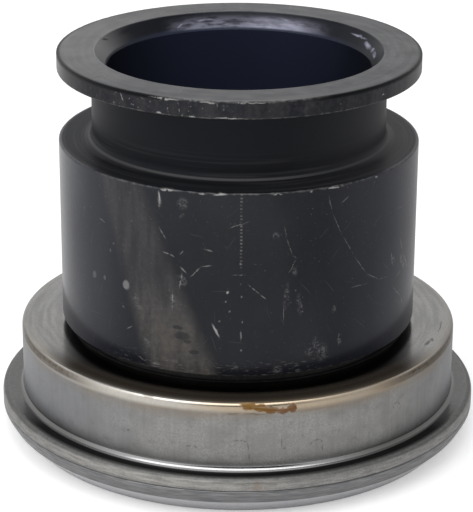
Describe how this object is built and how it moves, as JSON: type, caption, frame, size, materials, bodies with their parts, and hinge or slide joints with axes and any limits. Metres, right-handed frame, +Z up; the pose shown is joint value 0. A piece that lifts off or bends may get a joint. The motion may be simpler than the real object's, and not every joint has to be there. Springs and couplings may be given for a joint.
{
  "type": "clutch release bearing",
  "caption": "Clutch release bearing: a black steel sleeve with a through bore and a fork groove, on a sealed ball thrust bearing with a turning shell and thrust face.",
  "frame": {"origin": "centre of the thrust face, which the part stands on", "axes": "+Z up along the bore, from the thrust face to the fork flange; X and Y are free, because the part is round"},
  "size_m": [0.0948, 0.0948, 0.0768],
  "materials": {
    "black_oxide": "satin black oxide, scuffed",
    "pressed_steel": "bare pressed steel, slightly stained",
    "turned_steel": "turned steel with a ground face",
    "ground_steel": "ground bearing steel",
    "ball_steel": "polished bearing steel",
    "cage_steel": "pressed sheet steel",
    "seal_rubber": "moulded nitrile rubber"
  },
  "bodies": {
    "carrier": {"carrier_sleeve": "black_oxide", "rear_race": "ground_steel"},
    "rotor": {"thrust_ring": "turned_steel", "dust_shell": "pressed_steel", "rear_seal": "seal_rubber", "front_seal": "seal_rubber"},
    "cage": {"ball_cage": "cage_steel", "ball_01": "ball_steel", "ball_02": "ball_steel", "ball_03": "ball_steel", "ball_04": "ball_steel", "ball_05": "ball_steel", "ball_06": "ball_steel", "ball_07": "ball_steel", "ball_08": "ball_steel", "ball_09": "ball_steel", "ball_10": "ball_steel", "ball_11": "ball_steel", "ball_12": "ball_steel", "ball_13": "ball_steel", "ball_14": "ball_steel", "ball_15": "ball_steel", "ball_16": "ball_steel", "ball_17": "ball_steel", "ball_18": "ball_steel"}
  },
  "joints": [
    {"name": "bearing_spin", "type": "hinge", "parent": "carrier", "child": "rotor", "pos_m": [0, 0, 0], "axis": [0, 0, 1], "continuous": true},
    {"name": "cage_spin", "type": "hinge", "parent": "carrier", "child": "cage", "pos_m": [0, 0, 0], "axis": [0, 0, 1], "continuous": true}
  ],
  "couplings": [
    {"joint": "cage_spin", "follows": "bearing_spin", "ratio": 0.5442}
  ]
}
